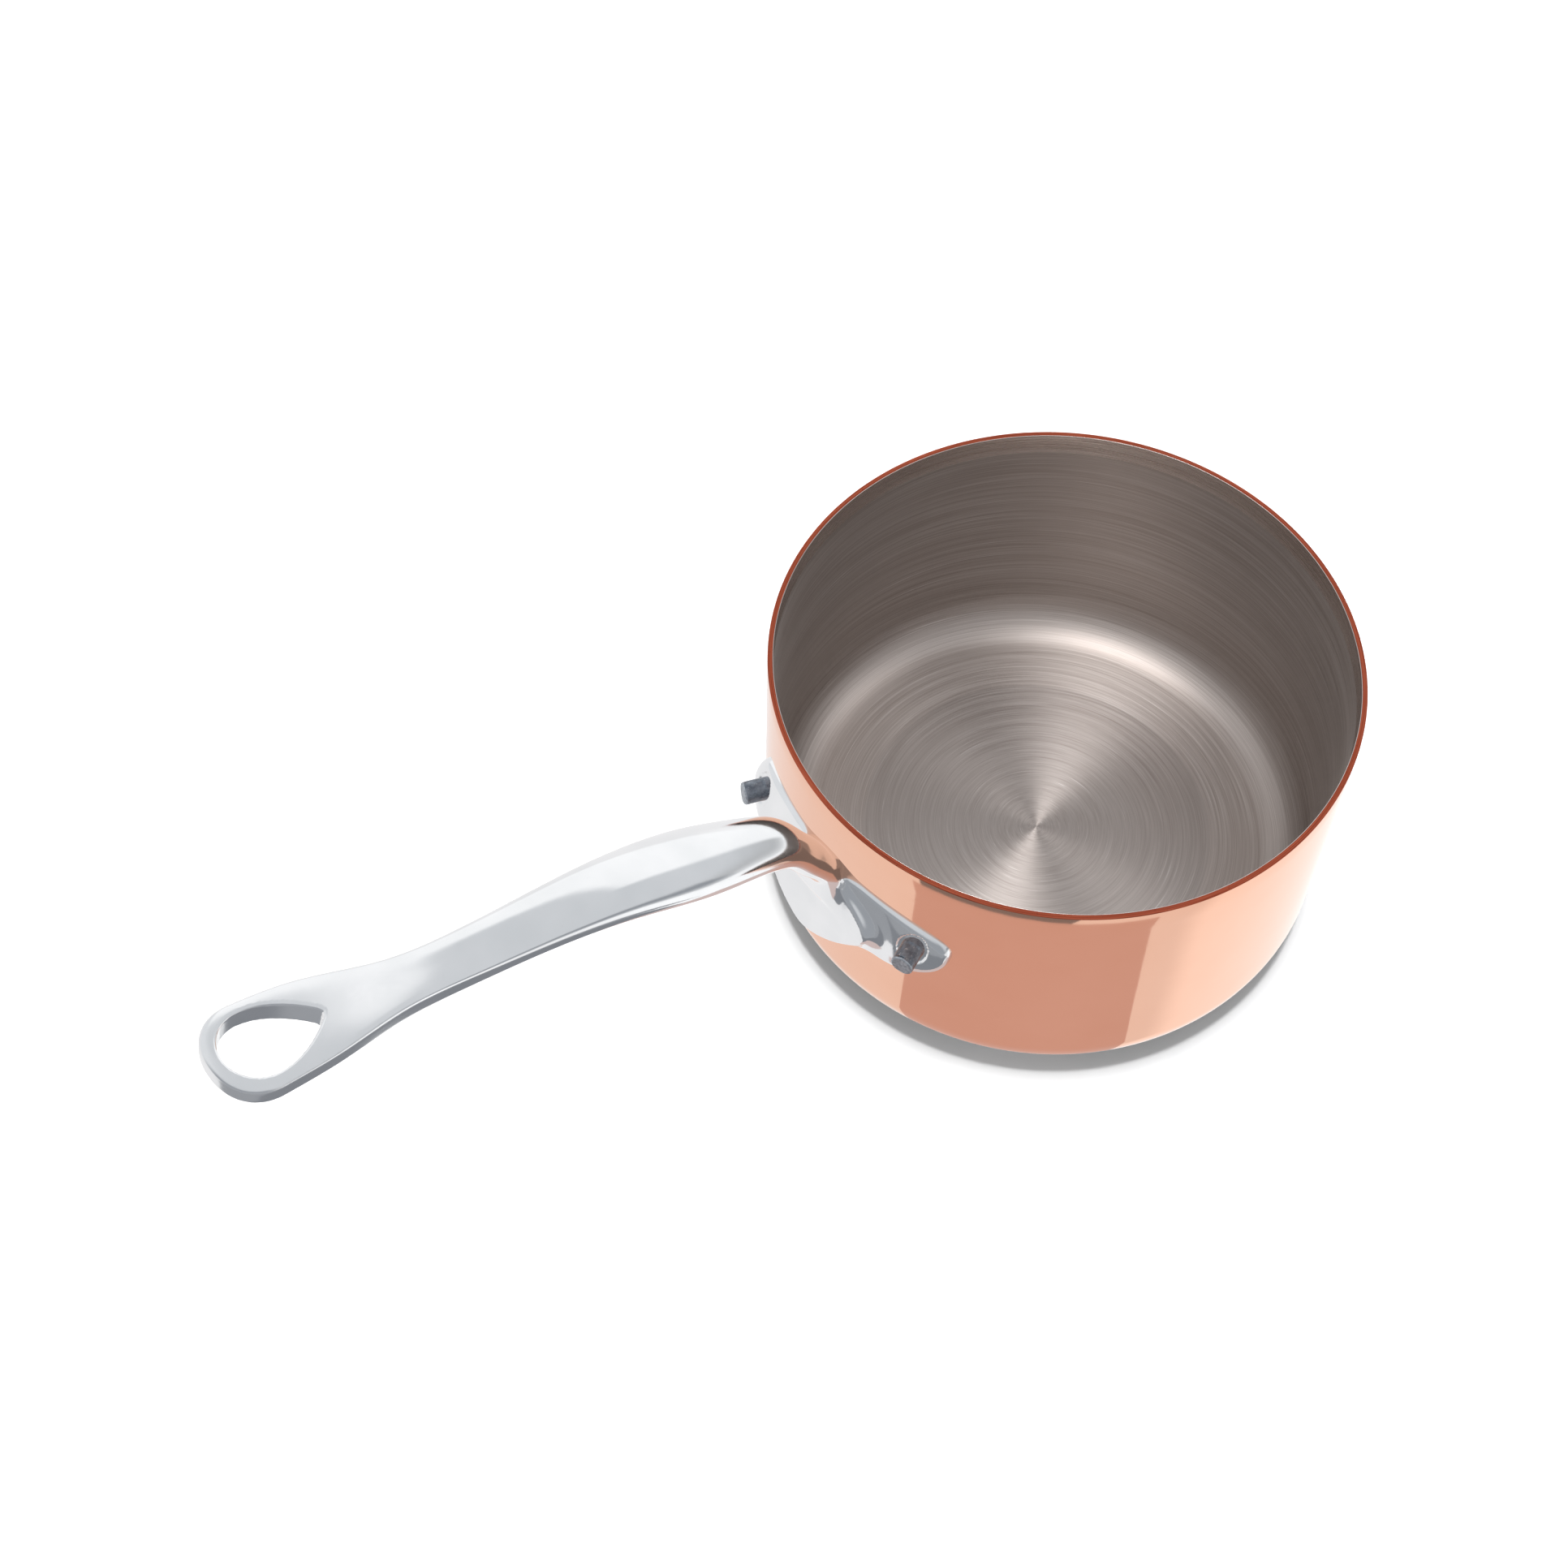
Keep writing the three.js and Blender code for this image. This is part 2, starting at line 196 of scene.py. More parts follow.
def mesh_from_arrays(name, points, faces):
    mesh = bpy.data.meshes.new(name)
    mesh.from_pydata([tuple(p) for p in points], [], [tuple(f) for f in faces])
    mesh.validate()
    mesh.polygons.foreach_set("use_smooth", [True] * len(mesh.polygons))
    mesh.update()
    return mesh


def turned_mesh(name, profile, steps):
    """A closed body of revolution about Z, from (radius, height, material) points in mm.

    The profile starts and ends on the axis; a point's material is that of the band after it.
    """
    mesh = bmesh.new()
    rings = []
    for radius, height, _ in profile:
        if radius < 1e-6:
            rings.append([mesh.verts.new((0, 0, height * MM))])
            continue
        ring = []
        for k in range(steps):
            turn = 2 * math.pi * k / steps
            spot = Vector((radius * math.cos(turn), radius * math.sin(turn), height)) * MM
            ring.append(mesh.verts.new(spot))
        rings.append(ring)
    for (low, high, point) in zip(rings[:-1], rings[1:], profile[:-1]):
        for k in range(steps):
            n = (k + 1) % steps
            if len(low) == 1:
                face = mesh.faces.new((low[0], high[n], high[k]))
            elif len(high) == 1:
                face = mesh.faces.new((low[k], low[n], high[0]))
            else:
                face = mesh.faces.new((low[k], low[n], high[n], high[k]))
            face.material_index = point[2]
            face.smooth = True
    bmesh.ops.recalc_face_normals(mesh, faces=mesh.faces)
    data = bpy.data.meshes.new(name)
    mesh.to_mesh(data)
    mesh.free()
    return data


def arc(centre_radius, centre_height, radius, start, end, steps, material=0):
    """Points of a round from one angle to another, in degrees from straight out, upwards."""
    out = []
    for k in range(steps + 1):
        turn = math.radians(start + (end - start) * k / steps)
        out.append((centre_radius + radius * math.cos(turn),
                    centre_height + radius * math.sin(turn), material))
    return out


def line(first, last, steps):
    """Points between two ends, both left out."""
    out = []
    for k in range(1, steps):
        share = k / steps
        out.append((first[0] + (last[0] - first[0]) * share,
                    first[1] + (last[1] - first[1]) * share, 0))
    return out


# ------------------------------------------------------------------ curves of the handle

class Spline:
    """A smooth curve through values at rising knots, straight beyond both ends."""

    def __init__(self, knots, values):
        self.knots = np.array(knots, float)
        self.values = np.array(values, float)
        gaps = np.diff(self.knots)
        rises = np.diff(self.values) / gaps
        count = len(knots)
        matrix = np.eye(count)
        right = np.zeros(count)
        for k in range(1, count - 1):
            matrix[k, k - 1:k + 2] = gaps[k - 1], 2 * (gaps[k - 1] + gaps[k]), gaps[k]
            right[k] = 6 * (rises[k] - rises[k - 1])
        self.bends = np.linalg.solve(matrix, right)

    def __call__(self, places):
        inside = np.clip(places, self.knots[0], self.knots[-1])
        k = np.clip(np.searchsorted(self.knots, inside) - 1, 0, len(self.knots) - 2)
        gap = self.knots[k + 1] - self.knots[k]
        a = (self.knots[k + 1] - inside) / gap
        b = 1 - a
        curved = (a ** 3 - a) * self.bends[k] + (b ** 3 - b) * self.bends[k + 1]
        return a * self.values[k] + b * self.values[k + 1] + curved * gap ** 2 / 6


class HandlePath:
    """The handle's middle line as a table of place, reach, rise and slope along its length."""

    SAMPLES = 4000
    BEYOND = 15.0

    def __init__(self):
        points = np.array(HANDLE_PATH)
        chords = np.concatenate([[0], np.cumsum(np.hypot(*np.diff(points, axis=0).T))])
        along = np.linspace(0, chords[-1], self.SAMPLES)
        reach = Spline(chords, points[:, 0])(along)
        rise = Spline(chords, points[:, 1])(along)
        place = np.concatenate([[0], np.cumsum(np.hypot(np.diff(reach), np.diff(rise)))])
        slope = np.arctan2(np.gradient(rise, place), np.gradient(reach, place))
        before, after = -self.BEYOND, self.BEYOND
        self.reach = np.concatenate([
            [reach[0] + before * math.cos(slope[0])], reach, [reach[-1] + after * math.cos(slope[-1])]])
        self.rise = np.concatenate([
            [rise[0] + before * math.sin(slope[0])], rise, [rise[-1] + after * math.sin(slope[-1])]])
        self.place = np.concatenate([[before], place, [place[-1] + after]])
        self.slope = np.concatenate([[slope[0]], slope, [slope[-1]]])

    def place_at(self, reach):
        return np.interp(reach, self.reach, self.place)

    def at(self, place):
        """Reach, rise and slope at places along the line."""
        return [np.interp(place, self.place, table) for table in (self.reach, self.rise, self.slope)]


PATH = HandlePath()
LOOP_CENTRE = PATH.place_at(LOOP_CENTRE_REACH)
LOOP_END = PATH.place_at(LOOP_END_REACH)
HOLE_WIDEST = PATH.place_at(LOOP_END_REACH - HOLE_RIM - HOLE_ROUND)
SECTION_TABLES = [
    Spline([row[0] for row in HANDLE_SECTIONS], [row[k] for row in HANDLE_SECTIONS])
    for k in range(1, 5)
]


# ------------------------------------------------------------------ the casting as a field
# Each field gives the rough distance to a body's surface, in mm, negative inside.

def blend_in(a, b, size):
    """Union with a fillet of about that size."""
    near = np.maximum(size - np.abs(a - b), 0) / size
    return np.minimum(a, b) - near * near * size / 4


def trim(a, b, size):
    """Intersection with a rounded edge of about that size."""
    return -blend_in(-a, -b, size)


def handle_places(points):
    """Place along the path, height above it and reach, for points in the row frame."""
    reach = -points[:, 0] - PAN_RADIUS
    rise = points[:, 2] - PAN_HEIGHT
    place = PATH.place_at(reach)
    for _ in range(4):
        middle_reach, middle_rise, slope = PATH.at(place)
        off_reach = reach - middle_reach
        off_rise = rise - middle_rise
        place = place + off_reach * np.cos(slope) + off_rise * np.sin(slope)
    middle_reach, middle_rise, slope = PATH.at(place)
    height = (rise - middle_rise) * np.cos(slope) - (reach - middle_reach) * np.sin(slope)
    return place, height, middle_reach


def grip_field(points, place, height, reach):
    half, crown, belly, square = [table(reach) for table in SECTION_TABLES]
    across = np.abs(points[:, 1]) / half
    past = np.maximum(place - LOOP_CENTRE, 0) / (LOOP_END - LOOP_CENTRE)
    k = LOOP_END_SQUARE
    plan = np.maximum((past ** k + across ** k) ** (1 / k), 1e-6)
    plan_slope = np.hypot(
        (across / plan) ** (k - 1) / half,
        (past / plan) ** (k - 1) / (LOOP_END - LOOP_CENTRE),
    )
    reach_up = np.where(height > 0, crown, belly)
    upright = np.abs(height) / reach_up
    whole = np.maximum((plan ** square + upright ** square) ** (1 / square), 1e-6)
    slope = np.hypot(
        (plan / whole) ** (square - 1) * plan_slope,
        (upright / whole) ** (square - 1) / reach_up,
    )
    body = (whole - 1) / np.maximum(slope, LEAST_STEEPNESS)
    return trim(body, -place, GRIP_START_ROUND)


def hole_field(points, place):
    """The drop-shaped hanging hole, through everything."""
    across = np.abs(points[:, 1])
    behind = HOLE_WIDEST - place
    share = np.clip(behind / HOLE_TAPER, 0, 1.2)
    closing = HOLE_HALF_WIDTH * HOLE_POINT_SHARE
    side = HOLE_HALF_WIDTH - closing * share ** HOLE_TAPER_POWER
    slant = closing * HOLE_TAPER_POWER * share ** (HOLE_TAPER_POWER - 1) / HOLE_TAPER
    taper = trim((across - side) / np.hypot(1, slant), behind - HOLE_TAPER, HOLE_POINT_ROUND)
    blunt = (np.hypot(behind / HOLE_ROUND, across / HOLE_HALF_WIDTH) - 1) * HOLE_ROUND
    return np.where(behind > 0, taper, blunt)


def flange_thickness(share):
    """Thickness by the share of the half length: full in the arms, thin at the tips."""
    fall = np.maximum(1 - share ** FLANGE_FULLNESS, 0) ** (1 / FLANGE_FULLNESS)
    return FLANGE_EDGE + (FLANGE_THICKNESS - FLANGE_EDGE) * fall


def waist(across):
    """How far the flange's face falls back behind the tongue."""
    share = np.clip((WAIST_END - np.abs(across)) / (WAIST_END - WAIST_START), 0, 1)
    return WAIST_DEPTH * share * share * (3 - 2 * share)


def flange_field(points, radius, angle):
    """A plate whose face slopes out from the crown to a soft ridge, and then drops to the foot."""
    share = np.abs(angle) * PAN_RADIUS / FLANGE_HALF_LENGTH
    level = points[:, 2] - PAN_HEIGHT - FLANGE_TIP
    rise = FLANGE_CROWN - FLANGE_TIP
    fall = FLANGE_TIP - FLANGE_FOOT
    span = np.where(level > 0, rise, fall)
    upright = np.abs(level) / span
    k = FLANGE_ROUNDNESS
    plan = np.maximum((share ** k + upright ** k) ** (1 / k), 1e-6)
    plan_slope = np.hypot(
        (share / plan) ** (k - 1) / FLANGE_HALF_LENGTH,
        (upright / plan) ** (k - 1) / span,
    )
    outline = (plan - 1) / np.maximum(plan_slope, LEAST_STEEPNESS)
    lift = np.maximum(1 - share ** k, 0) ** (1 / k)
    run = np.clip((rise + fall) * lift / 2, FLANGE_LEAST_SLOPE, FLANGE_SLOPE)
    full = flange_thickness(share) - waist(points[:, 1])
    out = radius - PAN_RADIUS
    steep = (full - FLANGE_EDGE) / run
    sloping = (out - FLANGE_EDGE - steep * (rise * lift - level)) / np.hypot(1, steep)
    face = trim(sloping, out - full, RIDGE_ROUND)
    edge = FLANGE_EDGE_ROUND - FLANGE_EDGE_CHANGE * np.tanh(level / FLANGE_EDGE_REACH)
    return trim(outline, face, edge)


def tongue_field(points):
    """A leaning plate: pointed at its foot, with shoulders, and domed at its top."""
    off_reach = -points[:, 0] - PAN_RADIUS - TONGUE_STAND
    off_rise = points[:, 2] - PAN_HEIGHT - TONGUE_FOOT
    along = off_rise * math.cos(TONGUE_LEAN) - off_reach * math.sin(TONGUE_LEAN)
    out = off_reach * math.cos(TONGUE_LEAN) + off_rise * math.sin(TONGUE_LEAN)
    share = np.abs(points[:, 1]) / TONGUE_HALF_WIDTH
    foot = TONGUE_SHOULDER * share ** TONGUE_POWER
    slant = TONGUE_SHOULDER * TONGUE_POWER * share ** (TONGUE_POWER - 1) / TONGUE_HALF_WIDTH
    up = np.maximum(along - TONGUE_SHOULDER, 0) / TONGUE_TOP
    ring = np.maximum(np.hypot(share, up), 1e-6)
    ring_slope = np.hypot(share / ring / TONGUE_HALF_WIDTH, up / ring / TONGUE_TOP)
    dome = (ring - 1) / np.maximum(ring_slope, LEAST_STEEPNESS)
    outline = trim((foot - along) / np.hypot(1, slant), dome, TONGUE_CORNER_ROUND)
    return trim(outline, out, TONGUE_EDGE_ROUND)


def recess_field(points, side, flange):
    """A shallow round spot-face that follows the arm's surface."""
    turn = side * RIVET_SPREAD / PAN_RADIUS
    across = points[:, 0] * math.sin(turn) + points[:, 1] * math.cos(turn)
    from_axis = np.hypot(across, points[:, 2] - PAN_HEIGHT + RIVET_BELOW_RIM)
    return trim(from_axis - RECESS_RADIUS, -(flange + RECESS_DEPTH), RECESS_ROUND)


def casting_field(points):
    radius = np.hypot(points[:, 0], points[:, 1])
    angle = np.arctan2(points[:, 1], -points[:, 0])
    place, height, reach = handle_places(points)
    flange = flange_field(points, radius, angle)
    body = blend_in(flange, tongue_field(points), TONGUE_BLEND)
    body = blend_in(body, grip_field(points, place, height, reach), GRIP_BLEND)
    body = trim(body, -hole_field(points, place), HOLE_EDGE)
    for side in (-1, 1):
        body = trim(body, -recess_field(points, side, flange), RECESS_ROUND)
    return np.maximum(body, PAN_RADIUS - SINK - radius)


# ------------------------------------------------------------------ a field as a mesh

def in_slices(field, points):
    """The field at many points, worked out in parts to save memory."""
    size = 200000
    return np.concatenate([field(points[k:k + size]) for k in range(0, len(points), size)])


def sampled_field(field, low, high, step):
    """Field values on a grid, exact near the surface and only of the right sign elsewhere.

    The grid is taken in blocks, and a block is worked out in full only where its middle is near.
    """
    block = 5
    half_diagonal = 0.87
    margin = 1.5
    low = np.array(low, float)
    blocks = np.ceil((np.array(high) - low) / (step * block)).astype(int)
    index = np.stack(np.meshgrid(*[np.arange(n) for n in blocks], indexing="ij"), -1).reshape(-1, 3)
    middle = low + (index + 0.5) * step * block
    rough = in_slices(field, middle).reshape(blocks)
    near = np.abs(rough) < step * block * half_diagonal + margin
    values = np.sign(rough)
    for axis in range(3):
        values = np.repeat(values, block, axis)
        near = np.repeat(near, block, axis)
    where = np.argwhere(near)
    values[near] = in_slices(field, low + where * step)
    return low, values


CORNERS = np.array([(i, j, k) for i in (0, 1) for j in (0, 1) for k in (0, 1)])
EDGES = [
    (a, b) for a in range(8) for b in range(a + 1, 8)
    if np.abs(CORNERS[a] - CORNERS[b]).sum() == 1
]


def surface_net(field, low, high, step):
    """Points and four-sided faces of the field's zero surface, one point to a cut cell."""
    low, values = sampled_field(field, low, high, step)
    inside = values < 0
    size = np.array(values.shape) - 1
    count = sum(inside[c[0]:c[0] + size[0], c[1]:c[1] + size[1], c[2]:c[2] + size[2]].astype(int)
                for c in CORNERS)
    cells = np.argwhere((count > 0) & (count < 8))
    at_corners = np.stack([values[tuple((cells + c).T)] for c in CORNERS], 1)
    total = np.zeros((len(cells), 3))
    crossings = np.zeros(len(cells))
    for a, b in EDGES:
        first, second = at_corners[:, a], at_corners[:, b]
        cut = (first < 0) != (second < 0)
        share = np.where(cut, first / np.where(cut, first - second, 1), 0)
        total += cut[:, None] * (CORNERS[a] + share[:, None] * (CORNERS[b] - CORNERS[a]))
        crossings += cut
    points = low + (cells + total / crossings[:, None]) * step
    number = np.full(size, -1)
    number[tuple(cells.T)] = np.arange(len(cells))
    faces = []
    for axis in range(3):
        step_to = np.eye(3, dtype=int)
        one, two = step_to[(axis + 1) % 3], step_to[(axis + 2) % 3]
        ahead = np.roll(inside, -1, axis)
        flips = inside != ahead
        flips[tuple(slice(-1, None) if k == axis else slice(None) for k in range(3))] = False
        for side in (True, False):
            node = np.argwhere(flips & (inside == side))
            node = node[np.all(node - one - two >= 0, 1)]
            ring = [node - one - two, node - two, node, node - one]
            quad = np.stack([number[tuple(r.T)] for r in ring], 1)
            faces.append(quad if side else quad[:, ::-1])
    return points, np.concatenate(faces)


def slopes(field, points):
    """The field's gradient at points."""
    reach = 0.01
    out = np.zeros_like(points)
    for axis in range(3):
        shift = np.zeros(3)
        shift[axis] = reach
        rise = in_slices(field, points + shift) - in_slices(field, points - shift)
        out[:, axis] = rise / (2 * reach)
    return out


def settle(field, points, faces, rounds):
    """Evens the points out over the surface and puts each one on it. Returns their normals too."""
    last_projections = 2
    ease = 0.6
    ends = np.concatenate([faces[:, [k, (k + 1) % 4]] for k in range(4)])
    degree = sum(np.bincount(ends[:, side], minlength=len(points)) for side in (0, 1))
    for k in range(rounds + last_projections):
        slope = slopes(field, points)
        steep = np.maximum((slope ** 2).sum(1), 0.05)
        points = points - slope * (in_slices(field, points) / steep)[:, None]
        normal = slope / np.sqrt(steep)[:, None]
        if k < rounds:
            total = np.zeros_like(points)
            for a, b in ((0, 1), (1, 0)):
                for axis in range(3):
                    total[:, axis] += np.bincount(ends[:, a], points[ends[:, b], axis], len(points))
            move = total / degree[:, None] - points
            move -= normal * (move * normal).sum(1)[:, None]
            points = points + ease * move
    return points, normal


def casting_mesh(name, step):
    """The whole casting as one smooth mesh, with the field's own slopes as its normals."""
    side = FLANGE_HALF_LENGTH + 3
    low = (-PAN_RADIUS - LOOP_END_REACH - 3, -side, PAN_HEIGHT + TONGUE_FOOT - 4)
    inmost = -PAN_RADIUS * math.cos(FLANGE_HALF_LENGTH / PAN_RADIUS)
    high = (inmost + 6, side, PAN_HEIGHT + HANDLE_PATH[-1][1] + 8)
    points, faces = surface_net(casting_field, low, high, step)
    points, normals = settle(casting_field, points, faces, SETTLE_ROUNDS)
    mesh = mesh_from_arrays(name, points * MM, faces)
    normals = normals / np.linalg.norm(normals, axis=1)[:, None]
    mesh.normals_split_custom_set_from_vertices([tuple(n) for n in normals])
    return mesh


# ------------------------------------------------------------------ the pan

def shell_mesh():
    """The copper: a round pan with a flat base, a rounded corner, a straight wall and a flat rim."""
    outer, inner = PAN_RADIUS, LINING_RADIUS
    corner = CORNER_RADIUS
    inner_corner = corner - COPPER_THICKNESS
    top = PAN_HEIGHT
    rim = RIM_ROUND
    profile = [(0, 0, 0)]
    profile += line((0, 0), (outer - corner, 0), BASE_STEPS)
    profile += arc(outer - corner, corner, corner, -90, 0, CORNER_STEPS)
    profile += line((outer, corner), (outer, top - rim), WALL_STEPS)
    profile += arc(outer - rim, top - rim, rim, 0, 90, 5, 1)
    profile += arc(inner + rim / 2, top - rim / 2, rim / 2, 90, 180, 3, 1)
    profile += line((inner, top - rim / 2), (inner, corner), WALL_STEPS)
    profile += arc(inner - inner_corner, corner, inner_corner, 0, -90, CORNER_STEPS)
    profile += line((inner - inner_corner, COPPER_THICKNESS), (0, COPPER_THICKNESS), BASE_STEPS)
    profile += [(0, COPPER_THICKNESS, 0)]
    return turned_mesh("copper_shell_fine", profile, TURN_STEPS)


def lining_mesh():
    """The steel lining: the same shape inside the copper, with a thin rounded edge at the rim."""
    outer = LINING_RADIUS
    inner = outer - STEEL_THICKNESS
    corner = CORNER_RADIUS - COPPER_THICKNESS
    inner_corner = corner - STEEL_THICKNESS
    low = LINING_FLOOR
    top = PAN_HEIGHT - LINING_DROP
    half = STEEL_THICKNESS / 2
    level = low + corner
    profile = [(0, low, 0)]
    profile += line((0, low), (outer - corner, low), BASE_STEPS)
    profile += arc(outer - corner, level, corner, -90, 0, CORNER_STEPS)
    profile += line((outer, level), (outer, top - half), WALL_STEPS)
    profile += arc(outer - half, top - half, half, 0, 180, 6, 1)
    profile += line((inner, top - half), (inner, level), WALL_STEPS)
    profile += arc(inner - inner_corner, level, inner_corner, 0, -90, CORNER_STEPS)
    floor = low + STEEL_THICKNESS
    profile += line((inner - inner_corner, floor), (0, floor), LINING_FLOOR_STEPS)
    profile += [(0, floor, 0)]
    return turned_mesh("steel_lining_fine", profile, TURN_STEPS)


def sheared_end(x, y, side):
    """How unevenly the stub was cut off, in mm from its full length and never above it."""
    return 0.1 * math.sin(0.9 * x + side) - 0.12 * (1 + math.sin(0.7 * y)) - 0.1


def rivet_mesh(name, side):
    """A cold-set rivet: a low domed head inside the pan and a plain stub outside the arm."""
    seat = LINING_RADIUS - STEEL_THICKNESS - RIVET_SEAT
    share = np.array(RIVET_SPREAD / FLANGE_HALF_LENGTH)
    end = PAN_RADIUS + float(flange_thickness(share)) + RIVET_STUB
    dome = (RIVET_HEAD_RADIUS ** 2 + RIVET_HEAD_HEIGHT ** 2) / (2 * RIVET_HEAD_HEIGHT)
    half_turn = math.degrees(math.asin(RIVET_HEAD_RADIUS / dome))
    profile = [(radius, height, 0) for radius, height, _ in
               arc(0, seat - RIVET_HEAD_HEIGHT + dome, dome, -90, half_turn - 90, RIVET_DOME_STEPS)]
    profile[0] = (0, profile[0][1], 0)
    profile += [(RIVET_HEAD_RADIUS, seat, 0), (RIVET_RADIUS, seat, 0)]
    profile += line((RIVET_RADIUS, seat), (RIVET_RADIUS, end - RIVET_CHAMFER), RIVET_STUB_STEPS)
    profile += arc(RIVET_RADIUS - RIVET_CHAMFER, end - RIVET_CHAMFER, RIVET_CHAMFER, 0, 75, 6, 1)
    for radius in (2.4, 1.8, 1.2, 0.6):
        profile.append((radius, end - RIVET_END_CROWN * (radius / RIVET_RADIUS) ** 2, 1))
    profile.append((0, end, 1))
    mesh = turned_mesh(name, profile, RIVET_TURN_STEPS)
    for vertex in mesh.vertices:
        x, y, along = [value / MM for value in vertex.co]
        radius = math.hypot(x, y)
        turn = math.atan2(y, x) + side
        dent = RIVET_DENTS[0] * math.sin(3 * turn) + RIVET_DENTS[1] * math.sin(7 * turn + along)
        if radius > 1 and along > PAN_RADIUS + 4:
            x -= x / radius * (dent + RIVET_WEAR)
            y -= y / radius * (dent + RIVET_WEAR)
        if along > end - 1:
            along += sheared_end(x, y, side)
        vertex.co = Vector((x, y, along)) * MM
    turn = side * RIVET_SPREAD / PAN_RADIUS
    out = Vector((-math.cos(turn), math.sin(turn), 0))
    across = Vector((-math.sin(turn), -math.cos(turn), 0))
    axes = Matrix((across, Vector((0, 0, 1)), out)).transposed()
    place = Vector((0, 0, (PAN_HEIGHT - RIVET_BELOW_RIM) * MM))
    mesh.transform(Matrix.Translation(place) @ axes.to_4x4())
    return mesh


# ------------------------------------------------------------------ node helpers

class Shading:
    """A material's node tree, with short calls for the nodes used here."""

    def __init__(self, name):
        self.material = bpy.data.materials.new(name)
        self.material.use_nodes = True
        self.tree = self.material.node_tree
        self.shader = self.tree.nodes["Principled BSDF"]
        self.place = self.node("ShaderNodeTexCoord").outputs["Object"]

    def node(self, kind, **settings):
        node = self.tree.nodes.new(kind)
        for key, value in settings.items():
            setattr(node, key, value)
        return node

    def put(self, socket, value):
        if isinstance(value, bpy.types.NodeSocket):
            self.tree.links.new(value, socket)
        else:
            socket.default_value = value

    def math(self, operation, first, second):
        node = self.node("ShaderNodeMath", operation=operation)
        self.put(node.inputs[0], first)
        self.put(node.inputs[1], second)
        return node.outputs[0]

    def vector(self, operation, first, second=(0, 0, 0), scale=1.0):
        node = self.node("ShaderNodeVectorMath", operation=operation)
        self.put(node.inputs[0], first)
        if operation == "SCALE":
            self.put(node.inputs["Scale"], scale)
        elif operation != "NORMALIZE":
            self.put(node.inputs[1], second)
        return node.outputs["Value" if operation in ("LENGTH", "DOT_PRODUCT") else "Vector"]

    def noise(self, place, scale, detail, rough):
        node = self.node("ShaderNodeTexNoise")
        self.put(node.inputs["Vector"], place)
        self.put(node.inputs["Scale"], scale)
        self.put(node.inputs["Detail"], detail)
        self.put(node.inputs["Roughness"], rough)
        return node.outputs["Fac"]

    def range(self, value, low, high, to_low, to_high, smooth=False):
        node = self.node("ShaderNodeMapRange")
        if smooth:
            node.interpolation_type = "SMOOTHSTEP"
        for socket, number in zip(node.inputs, (value, low, high, to_low, to_high)):
            self.put(socket, number)
        return node.outputs[0]

    def mix(self, share, first, second):
        """The second colour laid over the first, which may be a node's output, by that share."""
        node = self.node("ShaderNodeMix", data_type="RGBA")
        self.put(node.inputs["Factor"], share)
        self.put(node.inputs["A"], (*first, 1) if isinstance(first, tuple) else first)
        self.put(node.inputs["B"], (*second, 1))
        return node.outputs["Result"]

    def bump(self, height, strength, distance):
        node = self.node("ShaderNodeBump")
        self.put(node.inputs["Strength"], strength)
        self.put(node.inputs["Distance"], distance)
        self.put(node.inputs["Height"], height)
        return node.outputs["Normal"]

    def finish(self, colour, roughness, normal, metallic=1.0, others=()):
        self.put(self.shader.inputs["Base Color"], colour)
        self.put(self.shader.inputs["Roughness"], roughness)
        self.put(self.shader.inputs["Metallic"], metallic)
        self.put(self.shader.inputs["Normal"], normal)
        for key, value in others:
            self.put(self.shader.inputs[key], value)
        return self.material

    def turning_place(self, long, fine):
        """Coordinates for turned metal's streaks: slow around the axis, fast across it."""
        flat = self.vector("MULTIPLY", self.place, (1, 1, 0))
        around = self.vector("SCALE", self.vector("NORMALIZE", flat), scale=long)
        along = self.math("ADD", self.vector("LENGTH", flat), self.axis("Z"))
        up = self.node("ShaderNodeCombineXYZ")
        self.put(up.inputs["Z"], self.math("MULTIPLY", along, fine))
        return self.vector("ADD", around, up.outputs[0])

    def radius(self):
        return self.vector("LENGTH", self.vector("MULTIPLY", self.place, (1, 1, 0)))

    def axis(self, name):
        parts = self.node("ShaderNodeSeparateXYZ")
        self.put(parts.inputs[0], self.place)
        return parts.outputs[name]


# ------------------------------------------------------------------ materials

# Colours as red, green and blue in linear light.
COPPER = (0.855, 0.480, 0.332)
COPPER_PALER = (0.885, 0.515, 0.367)
COPPER_LINE = (0.80, 0.40, 0.26)
CUT_COPPER = (0.30, 0.055, 0.028)
CUT_COPPER_PALER = (0.60, 0.145, 0.075)
CUT_COPPER_NICK = (0.19, 0.045, 0.028)
LINING = (0.430, 0.372, 0.342)
LINING_PALER = (0.625, 0.566, 0.532)
LINING_DISC = (0.30, 0.265, 0.25)
LINING_BRIGHT = (0.95, 0.92, 0.90)
LINING_EDGE = (0.55, 0.45, 0.41)
LINING_EDGE_PALER = (0.86, 0.80, 0.76)
CASTING = (0.800, 0.815, 0.830)
CASTING_PALER = (0.855, 0.865, 0.880)
CASTING_SPECK = (0.55, 0.56, 0.58)
RIVET_SIDE = (0.095, 0.11, 0.135)
RIVET_SIDE_PALER = (0.19, 0.215, 0.25)
RIVET_SCRATCH = (0.62, 0.64, 0.66)
RIVET_END = (0.24, 0.26, 0.29)
RIVET_END_PALER = (0.42, 0.45, 0.49)
FLOOR = (0.905, 0.905, 0.908)
FLOOR_PALER = (0.925, 0.925, 0.928)


